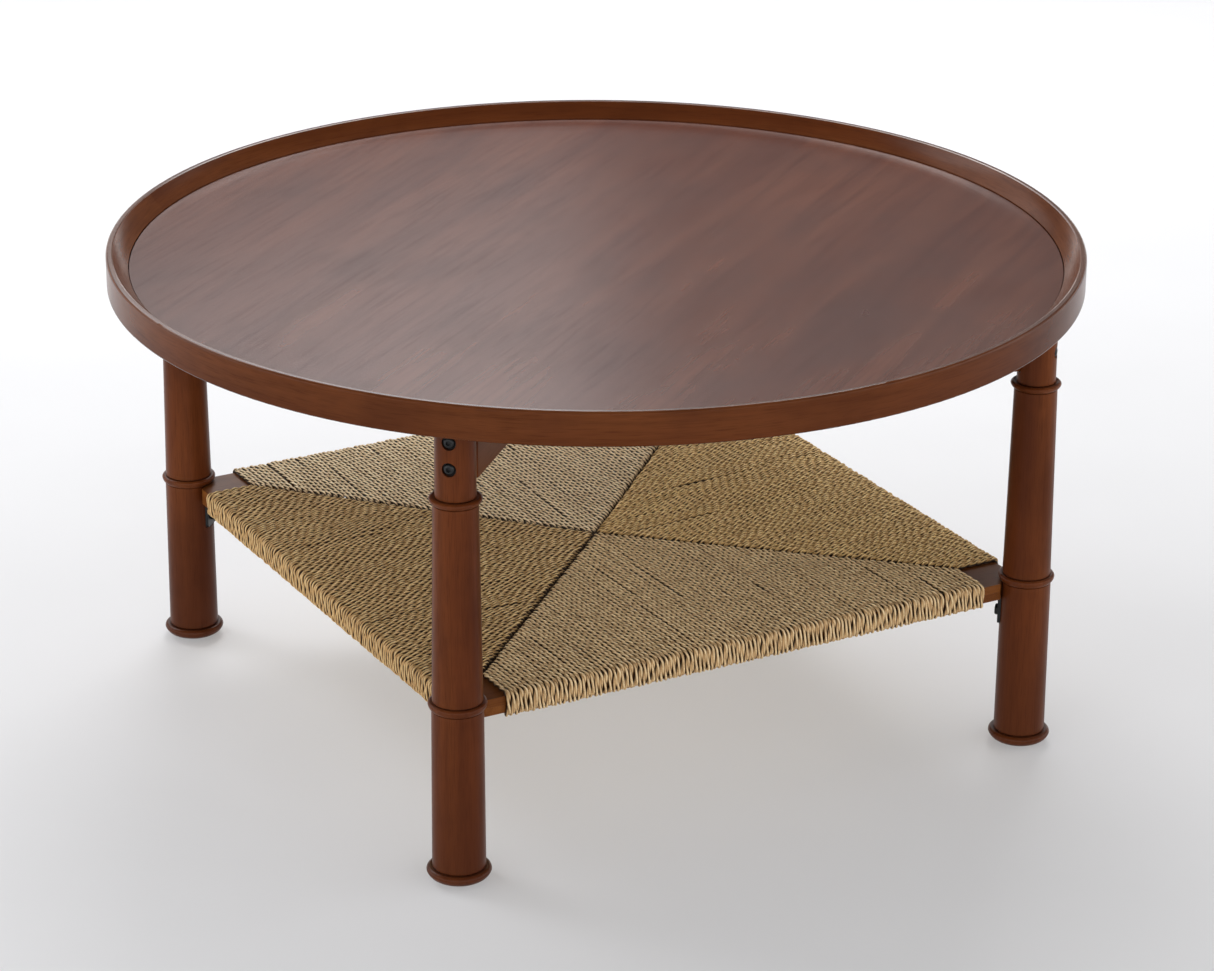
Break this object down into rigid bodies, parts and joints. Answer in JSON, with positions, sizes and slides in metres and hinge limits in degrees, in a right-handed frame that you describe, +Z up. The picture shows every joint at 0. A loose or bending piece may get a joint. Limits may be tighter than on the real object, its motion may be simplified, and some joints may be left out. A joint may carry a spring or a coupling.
{
  "type": "coffee table",
  "caption": "Round wooden coffee table: rimmed tray top on turned legs, with a square woven cord shelf near the floor and screw-adjusted glides.",
  "frame": {"origin": "on the floor under the middle of the table", "axes": "+Z up; legs on the diagonals, shelf rails along X and Y, front is -Y"},
  "size_m": [0.9144, 0.9144, 0.4628],
  "materials": {
    "tray_wood": "satin stained hardwood",
    "rim_wood": "satin stained hardwood, grain along the rim",
    "leg_wood": "satin stained hardwood, grain up the leg",
    "frame_wood": "satin stained hardwood",
    "cord": "twisted natural fibre cord, matte",
    "black_steel": "black, semi-matte",
    "zinc_steel": "zinc plated",
    "black_plastic": "matte"
  },
  "bodies": {
    "table": {"tray_panel": "tray_wood", "rim_segment_back_right": "rim_wood", "rim_segment_back_left": "rim_wood", "rim_segment_front_left": "rim_wood", "rim_segment_front_right": "rim_wood", "cross_beam_lower": "frame_wood", "cross_beam_upper": "frame_wood", "leg_back_right": "leg_wood", "leg_back_left": "leg_wood", "leg_front_left": "leg_wood", "leg_front_right": "leg_wood", "leg_bolts": "black_steel", "leg_washers": "black_steel", "barrel_nuts": "zinc_steel", "panel_screws": "zinc_steel", "shelf_rail_front": "frame_wood", "shelf_rail_right": "frame_wood", "shelf_rail_back": "frame_wood", "shelf_rail_left": "frame_wood", "woven_shelf": "cord", "corner_bracket_back_right": "black_steel", "corner_bracket_back_left": "black_steel", "corner_bracket_front_left": "black_steel", "corner_bracket_front_right": "black_steel", "bracket_bolts": "black_steel", "leg_inserts": "zinc_steel", "bracket_screws": "black_steel", "foot_inserts": "zinc_steel"},
    "glide_back_right": {"glide_pad_back_right": "black_plastic"},
    "stem_back_right": {"glide_stem_back_right": "zinc_steel"},
    "glide_back_left": {"glide_pad_back_left": "black_plastic"},
    "stem_back_left": {"glide_stem_back_left": "zinc_steel"},
    "glide_front_left": {"glide_pad_front_left": "black_plastic"},
    "stem_front_left": {"glide_stem_front_left": "zinc_steel"},
    "glide_front_right": {"glide_pad_front_right": "black_plastic"},
    "stem_front_right": {"glide_stem_front_right": "zinc_steel"}
  },
  "joints": [
    {"name": "glide_travel_back_right", "type": "slide", "parent": "table", "child": "glide_back_right", "axis": [0, 0, -1], "range_m": [0, 0.01]},
    {"name": "stem_turn_back_right", "type": "hinge", "parent": "glide_back_right", "child": "stem_back_right", "pos_m": [0.29815, 0.29815, 0], "axis": [0, 0, -1], "range_deg": [0, 2880]},
    {"name": "glide_travel_back_left", "type": "slide", "parent": "table", "child": "glide_back_left", "axis": [0, 0, -1], "range_m": [0, 0.01]},
    {"name": "stem_turn_back_left", "type": "hinge", "parent": "glide_back_left", "child": "stem_back_left", "pos_m": [-0.29815, 0.29815, 0], "axis": [0, 0, -1], "range_deg": [0, 2880]},
    {"name": "glide_travel_front_left", "type": "slide", "parent": "table", "child": "glide_front_left", "axis": [0, 0, -1], "range_m": [0, 0.01]},
    {"name": "stem_turn_front_left", "type": "hinge", "parent": "glide_front_left", "child": "stem_front_left", "pos_m": [-0.29815, -0.29815, 0], "axis": [0, 0, -1], "range_deg": [0, 2880]},
    {"name": "glide_travel_front_right", "type": "slide", "parent": "table", "child": "glide_front_right", "axis": [0, 0, -1], "range_m": [0, 0.01]},
    {"name": "stem_turn_front_right", "type": "hinge", "parent": "glide_front_right", "child": "stem_front_right", "pos_m": [0.29815, -0.29815, 0], "axis": [0, 0, -1], "range_deg": [0, 2880]}
  ],
  "couplings": [
    {"joint": "stem_turn_back_right", "follows": "glide_travel_back_right", "rad_per_m": 5026.5},
    {"joint": "stem_turn_back_left", "follows": "glide_travel_back_left", "rad_per_m": 5026.5},
    {"joint": "stem_turn_front_left", "follows": "glide_travel_front_left", "rad_per_m": 5026.5},
    {"joint": "stem_turn_front_right", "follows": "glide_travel_front_right", "rad_per_m": 5026.5}
  ]
}
